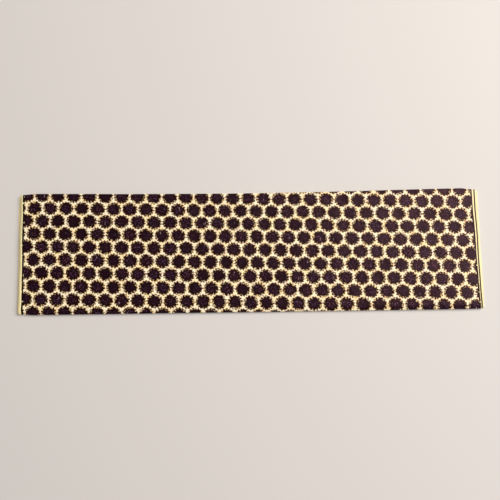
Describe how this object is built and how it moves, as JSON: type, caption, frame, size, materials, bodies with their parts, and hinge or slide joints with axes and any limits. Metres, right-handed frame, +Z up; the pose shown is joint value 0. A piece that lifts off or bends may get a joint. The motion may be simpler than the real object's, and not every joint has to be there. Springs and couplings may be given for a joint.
{
  "type": "folded wax print fabric",
  "caption": "Length of printed cotton folded back and forth into a long flat pack, soft folds on both long sides and woven selvedges at both ends.",
  "frame": {"origin": "under the middle of the folded pack, on the surface it lies on", "axes": "+X along the folds to the right-hand selvedge, +Y across the panels to the far long side, +Z up through the panels"},
  "size_m": [1.1687, 0.305, 0.0091],
  "materials": {
    "wax_print_cotton": "plain-woven cotton, printed, lightly polished"
  },
  "bodies": {
    "root": {"folded_cloth": "wax_print_cotton"}
  },
  "joints": []
}
